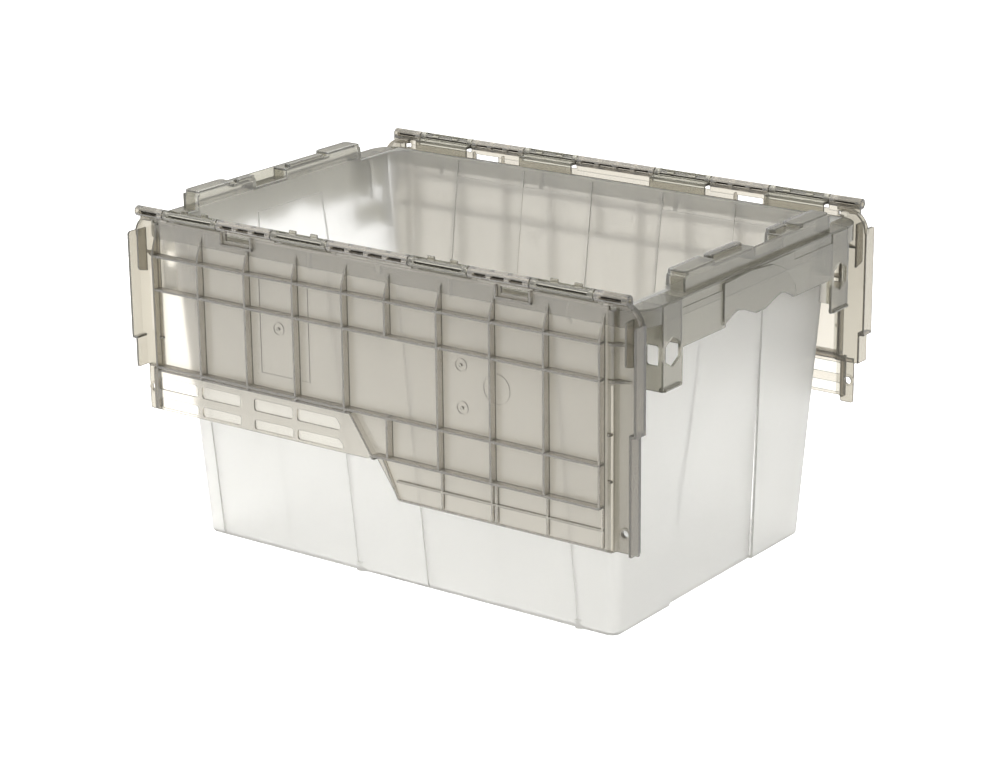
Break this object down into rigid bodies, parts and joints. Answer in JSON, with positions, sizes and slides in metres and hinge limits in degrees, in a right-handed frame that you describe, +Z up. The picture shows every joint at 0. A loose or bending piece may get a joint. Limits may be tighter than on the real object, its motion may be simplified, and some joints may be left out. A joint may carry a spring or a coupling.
{
  "type": "attached lid tote",
  "caption": "Tapered nesting plastic tote with two interlocking half lids hinged on steel rods along its long rims, and hand grips at both ends.",
  "frame": {"origin": "centre of the underside, on the ground", "axes": "+X along the length, the long half of the front lid is at +X; +Y across the width, from the front lid to the rear lid; +Z up"},
  "size_m": [0.554, 0.393, 0.3196],
  "materials": {
    "tote_body": "frosted translucent polypropylene, finely textured",
    "front_lid": "clear frosted polypropylene, semi-gloss",
    "rear_lid": "clear frosted polypropylene, semi-gloss",
    "hinge_rods": "dark drawn steel wire"
  },
  "bodies": {
    "tote": {"tote_body": "tote_body", "front_hinge_rod": "hinge_rods", "rear_hinge_rod": "hinge_rods"},
    "front_lid": {"front_lid": "front_lid"},
    "rear_lid": {"rear_lid": "rear_lid"}
  },
  "joints": [
    {"name": "front_lid_hinge", "type": "hinge", "parent": "tote", "child": "front_lid", "pos_m": [0, -0.191, 0.313], "axis": [-1, 0, 0], "range_deg": [0, 270]},
    {"name": "rear_lid_hinge", "type": "hinge", "parent": "tote", "child": "rear_lid", "pos_m": [0, 0.191, 0.313], "axis": [1, 0, 0], "range_deg": [0, 270]}
  ]
}
